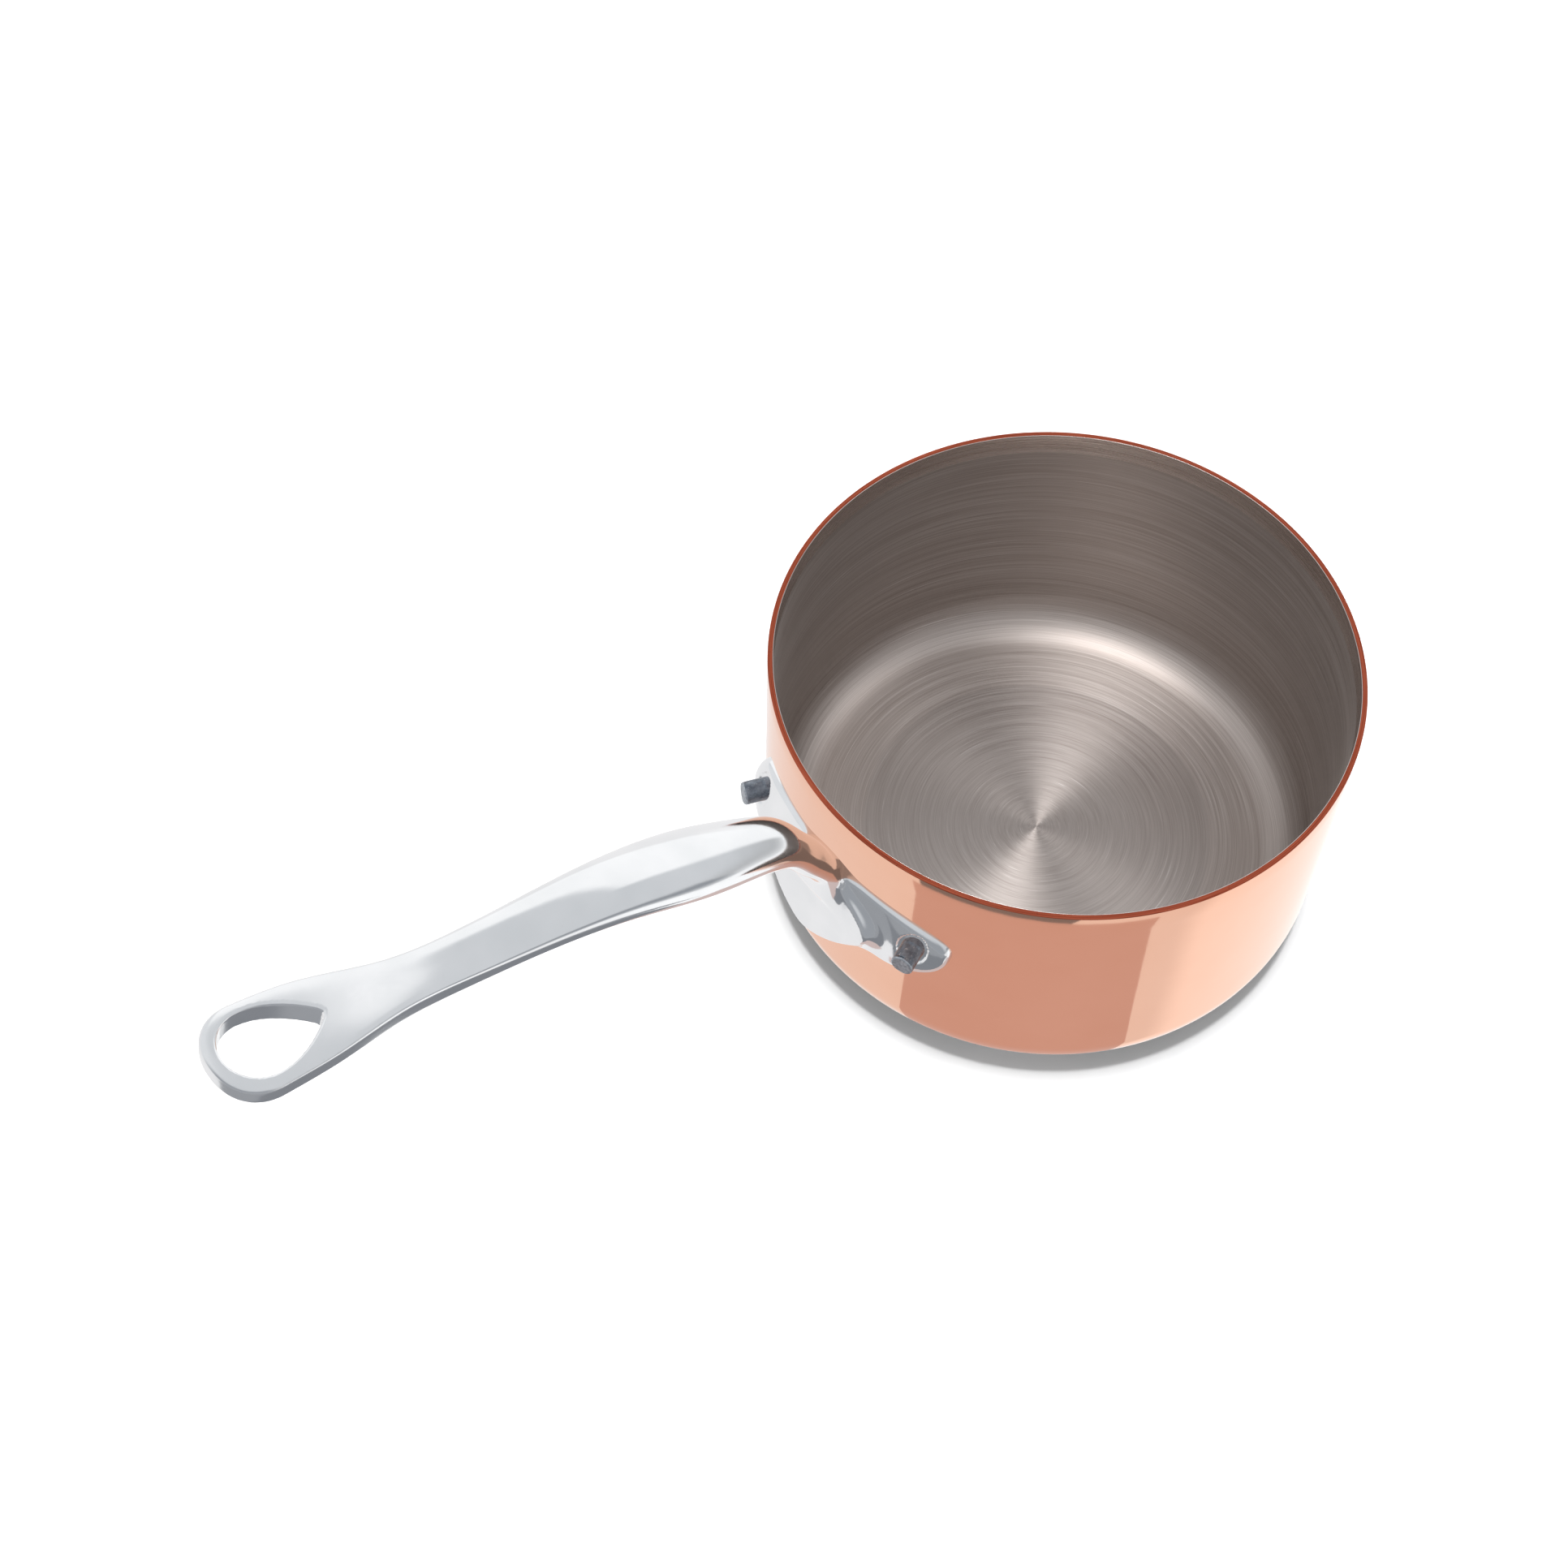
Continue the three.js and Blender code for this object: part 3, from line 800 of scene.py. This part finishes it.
def polished_copper():
    """The outside: a mirror with faint turning lines and slow waves."""
    s = Shading("polished_copper")
    cloud = s.noise(s.place, 28, 3, 0.55)
    hairline = s.noise(s.turning_place(1.2, 1600), 1.0, 3, 0.6)
    wave = s.noise(s.place, 60, 2, 0.4)
    colour = s.mix(s.range(cloud, 0.3, 0.7, 0, 1), COPPER, COPPER_PALER)
    colour = s.mix(s.range(hairline, 0.62, 0.8, 0, 0.12), colour, COPPER_LINE)
    polish = s.range(hairline, 0.35, 0.75, 0.045, 0.085)
    roughness = s.math("ADD", polish, s.range(cloud, 0.3, 0.7, 0, 0.02))
    height = s.math("ADD", wave, s.math("MULTIPLY", hairline, 0.02))
    return s.finish(colour, roughness, s.bump(height, 0.12, 0.0003))


def raw_copper_edge():
    """The sheet's cut edge, bare and dark red, with turning marks and small nicks."""
    s = Shading("raw_copper_edge")
    lines = s.noise(s.turning_place(3.0, 5200), 1.0, 4, 0.7)
    nicks = s.noise(s.turning_place(90, 1500), 1.0, 3, 0.6)
    colour = s.mix(s.range(lines, 0.35, 0.68, 0, 1), CUT_COPPER, CUT_COPPER_PALER)
    colour = s.mix(s.range(nicks, 0.62, 0.74, 0, 0.7), colour, CUT_COPPER_NICK)
    roughness = s.range(lines, 0.3, 0.7, 0.46, 0.30)
    height = s.math("ADD", s.math("MULTIPLY", lines, 0.6), s.math("MULTIPLY", nicks, -0.5))
    return s.finish(colour, roughness, s.bump(height, 0.5, 0.0001))


def brushed_steel():
    """Turned stainless steel: fine rings all the way up, a finer disc in the middle of the floor."""
    s = Shading("brushed_steel")
    fine = s.noise(s.turning_place(1.6, 3400), 1.0, 3, 0.6)
    broad = s.noise(s.turning_place(1.2, 700), 1.0, 4, 0.6)
    ring = s.noise(s.turning_place(0.35, 900), 1.0, 2, 0.5)
    disc_start = DISC_RADIUS * (1 - DISC_EDGE) * MM
    disc_end = DISC_RADIUS * (1 + DISC_EDGE) * MM
    disc = s.range(s.radius(), disc_start, disc_end, 1, 0, smooth=True)
    streak = s.math("ADD", s.math("MULTIPLY", fine, 0.7), s.math("MULTIPLY", broad, 0.3))
    colour = s.mix(s.range(streak, 0.36, 0.66, 0, 1), LINING, LINING_PALER)
    colour = s.mix(s.math("MULTIPLY", disc, 0.30), colour, LINING_DISC)
    bright = s.math("MULTIPLY", s.range(fine, 0.66, 0.80, 0, 1), s.range(ring, 0.4, 0.7, 0.2, 1))
    colour = s.mix(bright, colour, LINING_BRIGHT)
    roughness = s.math("ADD", s.range(streak, 0.35, 0.7, 0.34, 0.44), s.math("MULTIPLY", disc, -0.03))
    height = s.math("ADD", s.math("MULTIPLY", fine, 0.8), s.math("MULTIPLY", broad, 0.3))
    tangent = s.node("ShaderNodeTangent", direction_type="RADIAL", axis="Z").outputs[0]
    others = (("Tangent", tangent), ("Anisotropic", 0.86), ("Anisotropic Rotation", 0.25))
    return s.finish(colour, roughness, s.bump(height, 0.18, 0.0001), others=others)


def steel_edge():
    """The lining's edge at the rim, ground bright."""
    s = Shading("steel_edge")
    lines = s.noise(s.turning_place(2.0, 4000), 1.0, 3, 0.6)
    colour = s.mix(s.range(lines, 0.3, 0.7, 0, 1), LINING_EDGE, LINING_EDGE_PALER)
    roughness = s.range(lines, 0.3, 0.7, 0.32, 0.2)
    return s.finish(colour, roughness, s.bump(lines, 0.2, 0.0001))


def cast_steel():
    """Hand-polished castings: a mirror along the grip, a softer satin on the flat loop."""
    s = Shading("cast_steel")
    reach = s.math("MULTIPLY", s.axis("X"), -1 / MM)
    satin = s.range(reach, PAN_RADIUS + SATIN_START, PAN_RADIUS + SATIN_FULL, 0, 1, smooth=True)
    ripple = s.noise(s.place, 90, 2, 0.45)
    grain = s.noise(s.vector("MULTIPLY", s.place, (0.25, 1, 1)), 1500, 3, 0.6)
    speck = s.noise(s.place, 900, 3, 0.65)
    colour = s.mix(s.range(ripple, 0.3, 0.7, 0, 1), CASTING, CASTING_PALER)
    colour = s.mix(s.range(speck, 0.66, 0.8, 0, 0.25), colour, CASTING_SPECK)
    polish = s.range(grain, 0.3, 0.7, 0.075, 0.125)
    roughness = s.math("ADD", polish, s.math("MULTIPLY", satin, 0.12))
    height = s.math("ADD", s.math("MULTIPLY", ripple, 0.7), s.math("MULTIPLY", grain, 0.008))
    return s.finish(colour, roughness, s.bump(height, 0.16, 0.0003))


def rivet_side():
    """The stub's side: dull, drawn metal with long scratches and darker stains."""
    s = Shading("rivet_side")
    stain = s.noise(s.place, 520, 4, 0.6)
    scratch = s.noise(s.vector("MULTIPLY", s.place, (0.3, 0.3, 1)), 3200, 3, 0.7)
    colour = s.mix(s.range(stain, 0.35, 0.65, 0, 1), RIVET_SIDE, RIVET_SIDE_PALER)
    colour = s.mix(s.range(scratch, 0.6, 0.72, 0, 0.6), colour, RIVET_SCRATCH)
    roughness = s.range(stain, 0.3, 0.7, 0.24, 0.40)
    height = s.math("ADD", stain, s.math("MULTIPLY", scratch, 0.4))
    return s.finish(colour, roughness, s.bump(height, 0.3, 0.00012), metallic=0.75)


def rivet_end():
    """The stub's sheared end, paler and pitted."""
    s = Shading("rivet_end")
    pit = s.noise(s.place, 1300, 4, 0.7)
    colour = s.mix(s.range(pit, 0.35, 0.6, 0, 1), RIVET_END, RIVET_END_PALER)
    roughness = s.range(pit, 0.3, 0.7, 0.5, 0.38)
    return s.finish(colour, roughness, s.bump(pit, 0.3, 0.0001), metallic=0.75)


def pale_floor():
    """Matt white card with a very faint grain."""
    s = Shading("pale_floor")
    grain = s.noise(s.place, 40, 4, 0.6)
    colour = s.mix(s.range(grain, 0.3, 0.7, 0, 1), FLOOR, FLOOR_PALER)
    return s.finish(colour, 0.9, s.bump(grain, 0.05, 0.0005), metallic=0.0)


# ------------------------------------------------------------------ the object

def add_piece(name, mesh, materials, nodes):
    piece = new_object(name, mesh)
    piece.visible_diffuse = False
    for material in materials:
        mesh.materials.append(material)
    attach(piece, "root")
    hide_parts(*nodes)
    return piece


def unmirrored(piece):
    """Keeps a piece out of the pan's reflections and the floor's shadow."""
    piece.visible_glossy = False
    piece.visible_shadow = False


COPPER_METALS = [polished_copper(), raw_copper_edge()]
add_piece("copper_shell_fine", shell_mesh(), COPPER_METALS, ["copper_shell"])
LINING_METALS = [brushed_steel(), steel_edge()]
lining = add_piece("steel_lining_fine", lining_mesh(), LINING_METALS, ["steel_lining"])
casting = casting_mesh("handle_casting", GRID_STEP)
unmirrored(add_piece("handle_casting", casting, [cast_steel()], ["handle"]))
RIVET_METALS = [rivet_side(), rivet_end()]
for rivet_name, rivet_place in (("rivet_left", 1), ("rivet_right", -1)):
    rivet = rivet_mesh(rivet_name + "_fine", rivet_place)
    unmirrored(add_piece(rivet_name + "_fine", rivet, RIVET_METALS, [rivet_name]))


# ------------------------------------------------------------------ floor, light and camera

def plane(name, corners, material):
    mesh = bpy.data.meshes.new(name)
    mesh.from_pydata([tuple(c) for c in corners], [], [tuple(range(len(corners)))])
    mesh.materials.append(material)
    obj = new_object(name, mesh)
    return obj


def card(name, corners, colour):
    """A reflector that only the polished metal sees, like a card just out of the picture."""
    material = bpy.data.materials.new(name)
    material.use_nodes = True
    nodes = material.node_tree.nodes
    nodes.clear()
    glow = nodes.new("ShaderNodeEmission")
    glow.inputs["Color"].default_value = (*colour, 1)
    out = nodes.new("ShaderNodeOutputMaterial")
    material.node_tree.links.new(glow.outputs[0], out.inputs[0])
    obj = plane(name, corners, material)
    obj.visible_camera = False
    obj.visible_diffuse = False
    obj.visible_shadow = False
    obj.visible_transmission = False


def towards(azimuth, elevation):
    """A direction of length one, from degrees."""
    turn = math.radians(azimuth)
    rise = math.radians(elevation)
    level = math.cos(rise)
    return Vector((level * math.cos(turn), level * math.sin(turn), math.sin(rise)))


def wall_card(name, first, last, length, colour):
    """A card on the floor where the wall shows it, between two azimuths on the wall."""
    under_the_wall = -14
    corners = []
    for edge in (under_the_wall, length):
        for k in range(CARD_STEPS + 1):
            share = (k if edge < 0 else CARD_STEPS - k) / CARD_STEPS
            azimuth = first + (last - first) * share
            start = towards(azimuth, 0) * PAN_RADIUS
            run = towards(2 * azimuth - CAMERA_AZIMUTH, 0) * edge
            corners.append((start + run + Vector((0, 0, WALL_CARD_LIFT))) * MM)
    card(name, corners, colour)


def handle_card():
    """A dark card beside the handle, which the casting's lower edges show."""
    far_side, near_x, near_y = -320, -84, -30
    outline = [(far_side, far_side), (near_x, far_side), (near_x, near_y), (far_side, near_y)]
    corners = [Vector((x, y, HANDLE_CARD_LIFT)) * MM for x, y in outline]
    card("handle_card", corners, (0.25, 0.26, 0.28))


def far_card():
    """The darker floor further out on the camera's side, as the casting's arms show it."""
    near, far = 185, 3000
    first, width, steps = 172, 91, 12
    corners = []
    for radius in (near, far):
        for k in range(steps + 1):
            turn = first + width * (k if radius == near else steps - k) / steps
            corners.append((towards(turn, 0) * radius + Vector((0, 0, FAR_CARD_LIFT))) * MM)
    card("far_card", corners, (0.36, 0.37, 0.39))


def soft_light(name, azimuth, elevation, power):
    """A square soft box that faces the pan's middle."""
    light = bpy.data.lights.new(name, "AREA")
    light.size = SOFT_BOX_SIZE
    light.energy = power
    obj = bpy.data.objects.new(name, light)
    bpy.context.scene.collection.objects.link(obj)
    way = towards(azimuth, elevation)
    obj.location = Vector((0, 0, PAN_HEIGHT / 2)) * MM + way * SOFT_BOX_DISTANCE
    obj.rotation_euler = way.to_track_quat("Z", "Y").to_euler()
    return obj


def sky_light(name, azimuth, elevation, spread, strength):
    """A light that falls evenly on the whole floor, as soft as its spread in degrees."""
    light = bpy.data.lights.new(name, "SUN")
    light.angle = math.radians(spread)
    light.energy = strength
    obj = bpy.data.objects.new(name, light)
    bpy.context.scene.collection.objects.link(obj)
    obj.rotation_euler = towards(azimuth, elevation).to_track_quat("Z", "Y").to_euler()
    obj.visible_glossy = False


def light_only(light, piece):
    """Keeps a light to one piece, as a snoot would."""
    group = bpy.data.collections.new(light.name + "_group")
    group.objects.link(piece)
    light.light_linking.receiver_collection = group


class Room:
    """The studio as a pattern of brightness around the object, in azimuth and elevation."""

    def __init__(self):
        world = bpy.data.worlds.new("room")
        bpy.context.scene.world = world
        world.cycles_visibility.diffuse = False
        world.use_nodes = True
        self.tree = world.node_tree
        self.background = self.tree.nodes["Background"]
        place = self.tree.nodes.new("ShaderNodeTexCoord").outputs["Generated"]
        parts = self.tree.nodes.new("ShaderNodeSeparateXYZ")
        self.tree.links.new(place, parts.inputs[0])
        self.upright = parts.outputs["Z"]
        flat = self.tree.nodes.new("ShaderNodeVectorMath")
        flat.operation = "MULTIPLY"
        flat.inputs[1].default_value = (1, 1, 0)
        self.tree.links.new(place, flat.inputs[0])
        level = self.tree.nodes.new("ShaderNodeVectorMath")
        level.operation = "NORMALIZE"
        self.tree.links.new(flat.outputs[0], level.inputs[0])
        self.level = level.outputs[0]
        self.colour = None

    def step(self, value, low, high, to_low=0.0, to_high=1.0):
        node = self.tree.nodes.new("ShaderNodeMapRange")
        node.interpolation_type = "SMOOTHSTEP"
        self.tree.links.new(value, node.inputs[0])
        for socket, number in zip(node.inputs[1:5], (low, high, to_low, to_high)):
            socket.default_value = number
        return node.outputs[0]

    def product(self, *factors):
        total = factors[0]
        for factor in factors[1:]:
            node = self.tree.nodes.new("ShaderNodeMath")
            node.operation = "MULTIPLY"
            self.tree.links.new(total, node.inputs[0])
            self.tree.links.new(factor, node.inputs[1])
            total = node.outputs[0]
        return total

    def lay(self, share, colour):
        """Paints a colour over what is there already, by that share."""
        node = self.tree.nodes.new("ShaderNodeMix")
        node.data_type = "RGBA"
        first, second = node.inputs["A"], node.inputs["B"]
        if self.colour is None:
            first.default_value = (*colour, 1)
            node.inputs["Factor"].default_value = 0
        else:
            self.tree.links.new(self.colour, first)
            self.tree.links.new(share, node.inputs["Factor"])
        second.default_value = (*colour, 1)
        self.colour = node.outputs["Result"]
        self.tree.links.new(self.colour, self.background.inputs["Color"])

    def zone(self, azimuth, half_width, low, high, soft, colour):
        """A soft-edged patch, in degrees."""
        way = self.tree.nodes.new("ShaderNodeVectorMath")
        way.operation = "DOT_PRODUCT"
        turn = math.radians(azimuth)
        way.inputs[1].default_value = (math.cos(turn), math.sin(turn), 0)
        self.tree.links.new(self.level, way.inputs[0])
        outer = math.cos(math.radians(min(half_width + soft, 180)))
        inner = math.cos(math.radians(max(half_width - soft, 0)))
        edges = (low - soft, low + soft, high - soft, high + soft)
        sines = [math.sin(math.radians(angle)) for angle in edges]
        beside = self.step(way.outputs["Value"], outer, inner)
        above = self.step(self.upright, *sines[:2])
        below = self.step(self.upright, *sines[2:], 1.0, 0.0)
        self.lay(self.product(beside, above, below), colour)

    def show_camera(self, colour):
        """The plain pale wall that the camera sees behind the floor."""
        rays = self.tree.nodes.new("ShaderNodeLightPath")
        self.lay(rays.outputs["Is Camera Ray"], colour)


def light_room():
    """Grey walls, a paler ceiling, and the brighter and darker patches that the metal shows."""
    room = Room()
    room.lay(None, (0.55, 0.555, 0.565))
    room.lay(room.step(room.upright, 0.10, 0.30), (0.70, 0.715, 0.735))
    room.zone(azimuth=215, half_width=62, low=-20, high=42, soft=12, colour=(0.37, 0.385, 0.41))
    room.zone(azimuth=312, half_width=18, low=-20, high=13, soft=3, colour=(0.33, 0.345, 0.37))
    room.zone(azimuth=110, half_width=32, low=-20, high=62, soft=10, colour=(0.84, 0.85, 0.865))
    room.zone(azimuth=43, half_width=34, low=-20, high=37, soft=3, colour=(1.10, 1.10, 1.10))
    lower_half = room.step(room.upright, -0.03, -0.005, 1.0, 0.0)
    room.lay(lower_half, (0.95, 0.94, 0.94))
    room.zone(azimuth=345, half_width=52, low=-80, high=0, soft=8, colour=(1.16, 1.16, 1.16))
    room.show_camera((1.0, 1.0, 1.0))


def add_floor():
    """A plain floor. The metal shows the room's lower half in its place."""
    half = FLOOR_HALF
    corners = [(-half, -half, 0), (half, -half, 0), (half, half, 0), (-half, half, 0)]
    plane("floor", corners, pale_floor()).visible_glossy = False


def add_camera():
    camera = bpy.data.objects.new("camera", bpy.data.cameras.new("camera"))
    bpy.context.scene.collection.objects.link(camera)
    bpy.context.scene.camera = camera
    forward = towards(90 - math.degrees(CAMERA_HEADING), -math.degrees(CAMERA_TILT))
    right = forward.cross(Vector((0, 0, 1))).normalized()
    up = right.cross(forward)
    rolled_right = math.cos(CAMERA_ROLL) * right + math.sin(CAMERA_ROLL) * up
    rolled_up = math.cos(CAMERA_ROLL) * up - math.sin(CAMERA_ROLL) * right
    turned = Matrix((rolled_right, rolled_up, -forward)).transposed().to_4x4()
    camera.matrix_world = Matrix.Translation(CAMERA_PLACE) @ turned
    camera.data.lens = CAMERA_LENS
    camera.data.sensor_width = CAMERA_SENSOR
    camera.data.clip_start = CAMERA_NEAREST


add_floor()
wall_card("copper_card", first=199, last=246, length=62, colour=(0.70, 0.55, 0.52))
handle_card()
far_card()
light_room()
sky_light("floor_light", azimuth=30, elevation=89.3, spread=10.5, strength=3.5)
sky_light("fill_light", azimuth=30, elevation=86, spread=50, strength=1.5)
light_only(soft_light("pan_light", azimuth=100, elevation=84, power=3.6), lining)
light_only(soft_light("pan_side_light", azimuth=349, elevation=60, power=0.7), lining)
add_camera()
bpy.context.scene.view_settings.view_transform = "Standard"
